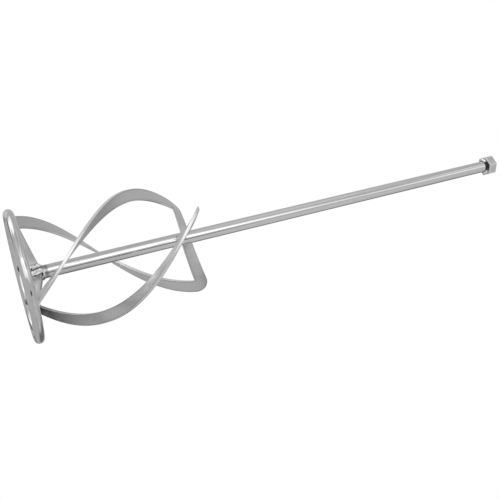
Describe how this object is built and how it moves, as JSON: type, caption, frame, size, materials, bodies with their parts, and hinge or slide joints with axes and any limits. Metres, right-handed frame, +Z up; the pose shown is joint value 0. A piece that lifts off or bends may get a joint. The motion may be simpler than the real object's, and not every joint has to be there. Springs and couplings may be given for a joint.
{
  "type": "mortar mixing paddle",
  "caption": "Mortar mixing paddle: a round steel shaft with a hexagonal drive nut, twisted C-shaped blades and a round-bar ring at the foot, welded together.",
  "frame": {"origin": "on the shaft's axis, in the plane of the ring's underside, where the standing paddle meets the floor", "axes": "+Z up the shaft from the mixing ring to the drive nut; -Y is the front, the side the picture was taken from; one corner of the drive nut points 27 degrees round from +X towards +Y"},
  "size_m": [0.14, 0.14, 0.6],
  "materials": {
    "plated_bar": "bright zinc-plated steel bar, semi-gloss",
    "plated_nut": "zinc-plated steel nut, semi-gloss",
    "plated_sheet": "zinc-plated cut sheet, satin, bright on the cut edges",
    "plated_weld": "plated weld metal, glossy and rippled"
  },
  "bodies": {
    "root": {"shaft": "plated_bar", "mixing_ring": "plated_bar", "drive_nut": "plated_nut", "blade_1": "plated_sheet", "blade_2": "plated_sheet", "blade_3": "plated_sheet", "top_weld_1": "plated_weld", "top_weld_2": "plated_weld", "top_weld_3": "plated_weld", "foot_weld_1": "plated_weld", "foot_weld_2": "plated_weld", "foot_weld_3": "plated_weld", "ring_weld_1": "plated_weld", "ring_weld_2": "plated_weld", "ring_weld_3": "plated_weld", "nut_weld_bead": "plated_weld"}
  },
  "joints": []
}
